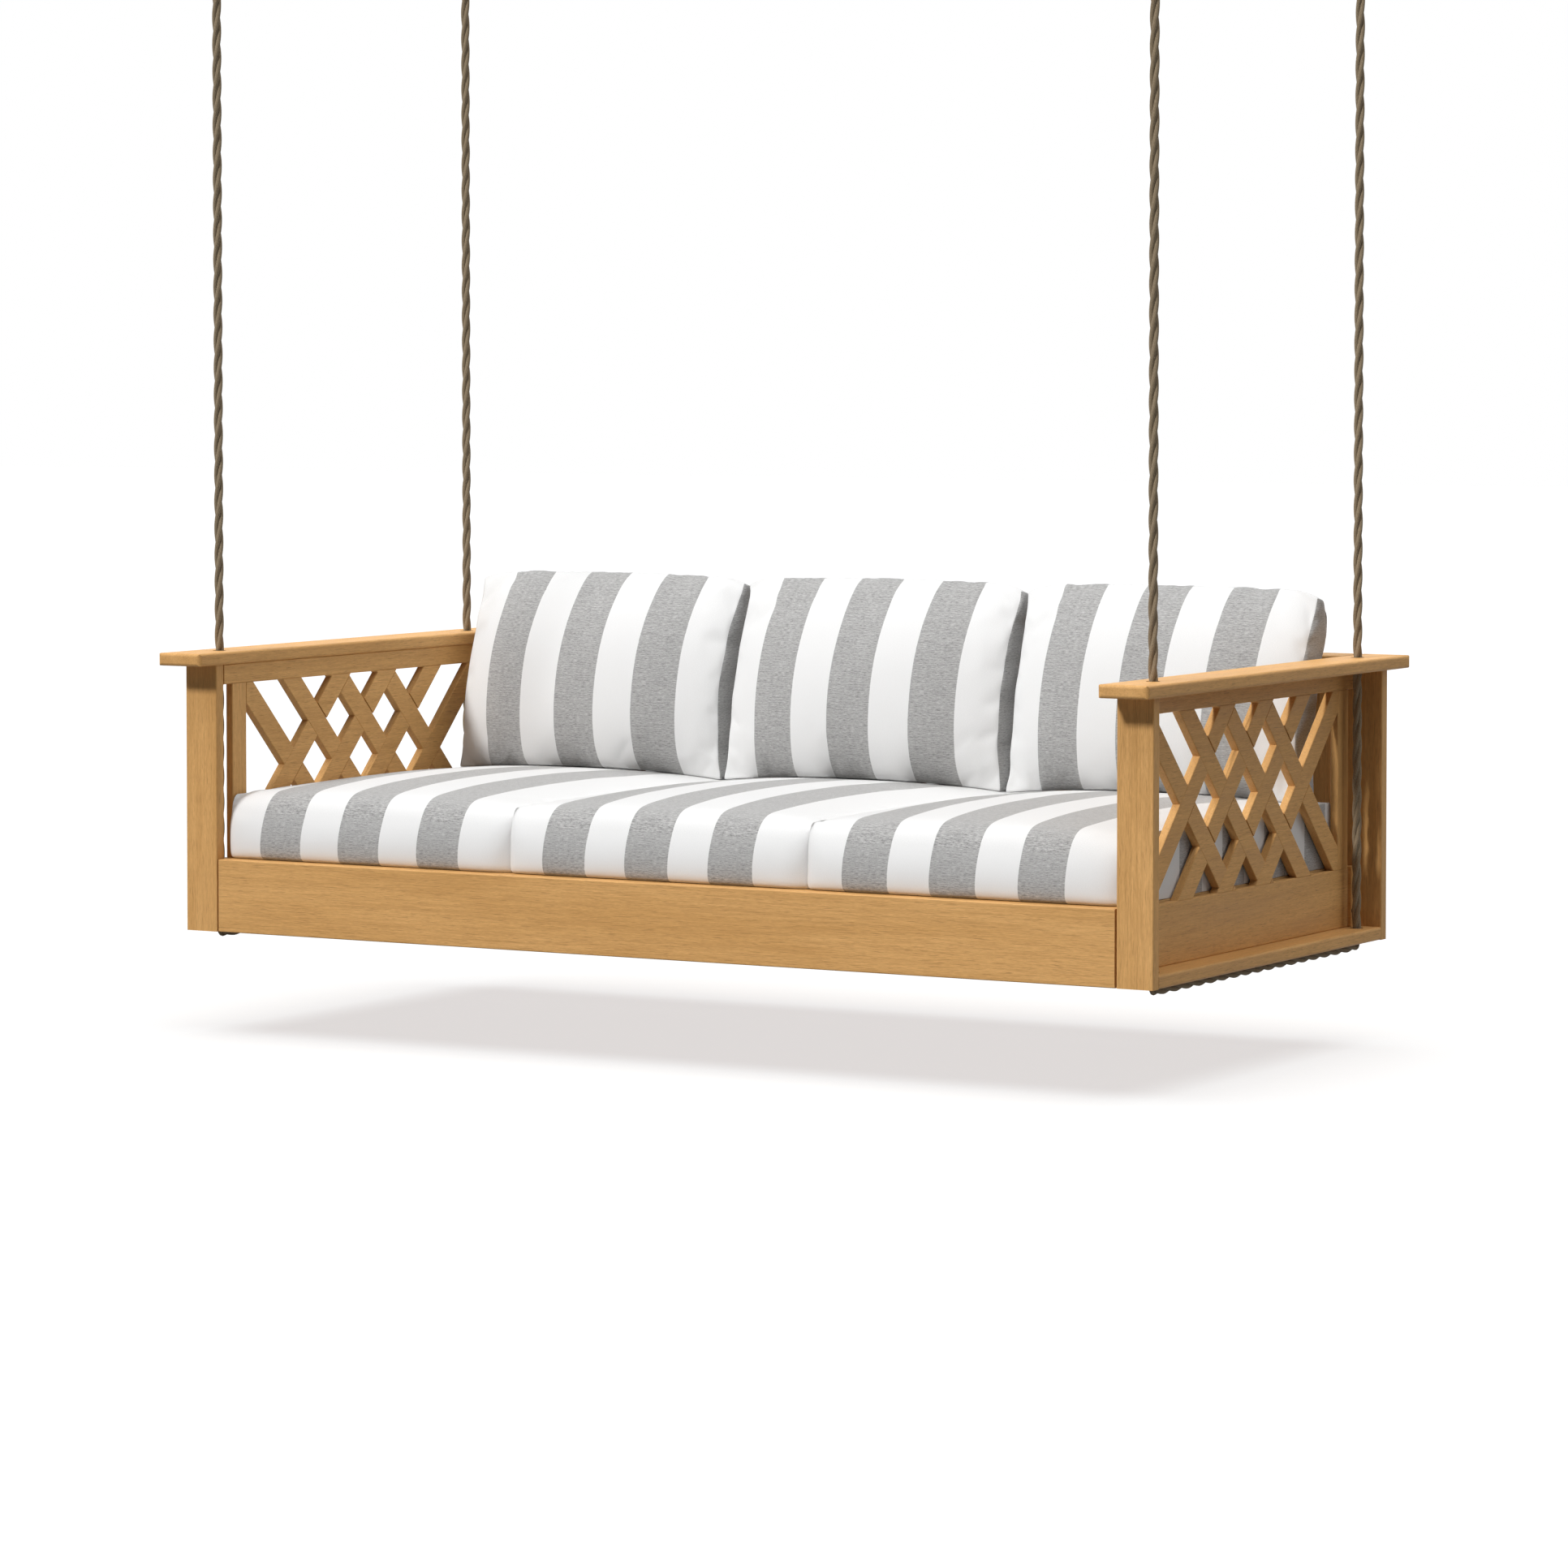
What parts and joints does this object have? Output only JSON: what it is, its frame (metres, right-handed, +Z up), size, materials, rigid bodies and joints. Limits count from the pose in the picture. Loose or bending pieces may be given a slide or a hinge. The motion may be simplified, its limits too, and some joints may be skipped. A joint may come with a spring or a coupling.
{
  "type": "hanging swing bed",
  "caption": "Day bed with lattice ends, a cap rail and striped seat and back cushions, slung on ropes from ceiling eye bolts.",
  "frame": {"origin": "middle of the four ceiling eye bolts, on the ceiling plane", "axes": "+X along the bed to its right-hand end, +Y from front to back, +Z up"},
  "size_m": [2.1508, 1.15, 2.2153],
  "materials": {
    "wood": "warm golden-tan oiled hardwood, satin",
    "deck_wood": "sawn hardwood, matte",
    "dark_steel": "blackened screw heads",
    "striped_fabric": "woven outdoor fabric, white and heathered grey stripes",
    "rope": "three-strand twisted rope, taupe",
    "twine": "tight twine seizing",
    "zinc_steel": "zinc plated"
  },
  "bodies": {
    "ceiling": {"eye_bolts": "zinc_steel"},
    "front_ropes": {"front_left_rope": "rope", "front_right_rope": "rope", "front_rope_eyes": "rope", "front_thimbles": "zinc_steel", "front_seizings": "twine"},
    "rear_ropes": {"rear_left_rope": "rope", "rear_right_rope": "rope", "rear_rope_eyes": "rope", "rear_thimbles": "zinc_steel", "rear_seizings": "twine"},
    "bed": {"front_left_post": "wood", "front_right_post": "wood", "rear_left_post": "wood", "rear_right_post": "wood", "left_armrest": "wood", "right_armrest": "wood", "back_cap": "wood", "front_rail": "wood", "rear_rail": "wood", "front_inner_rail": "wood", "rear_inner_rail": "wood", "left_bottom_board": "wood", "right_bottom_board": "wood", "left_side_apron": "wood", "right_side_apron": "wood", "left_top_rail": "wood", "right_top_rail": "wood", "left_front_stile": "wood", "left_rear_stile": "wood", "right_front_stile": "wood", "right_rear_stile": "wood", "left_rising_slats": "wood", "left_falling_slats": "wood", "right_rising_slats": "wood", "right_falling_slats": "wood", "back_top_rail": "wood", "back_bottom_rail": "wood", "back_left_stile": "wood", "back_right_stile": "wood", "back_rising_slats": "wood", "back_falling_slats": "wood", "front_ledger": "deck_wood", "rear_ledger": "deck_wood", "seat_slats": "deck_wood", "rail_screws": "dark_steel", "left_seat_cushion": "striped_fabric", "middle_seat_cushion": "striped_fabric", "right_seat_cushion": "striped_fabric", "left_back_cushion": "striped_fabric", "middle_back_cushion": "striped_fabric", "right_back_cushion": "striped_fabric", "left_sling_rope": "rope", "right_sling_rope": "rope"}
  },
  "joints": [
    {"name": "swing", "type": "hinge", "parent": "ceiling", "child": "front_ropes", "pos_m": [0, -0.4449, -0.064], "axis": [1, 0, 0], "range_deg": [-20, 20]},
    {"name": "bed_on_front_ropes", "type": "hinge", "parent": "front_ropes", "child": "bed", "pos_m": [0, -0.4449, -1.5735], "axis": [1, 0, 0], "range_deg": [-20, 20]},
    {"name": "rear_ropes_swing", "type": "hinge", "parent": "ceiling", "child": "rear_ropes", "pos_m": [0, 0.4449, -0.064], "axis": [1, 0, 0], "range_deg": [-20, 20]}
  ],
  "couplings": [
    {"joint": "bed_on_front_ropes", "follows": "swing", "ratio": -1},
    {"joint": "rear_ropes_swing", "follows": "swing", "ratio": 1}
  ]
}
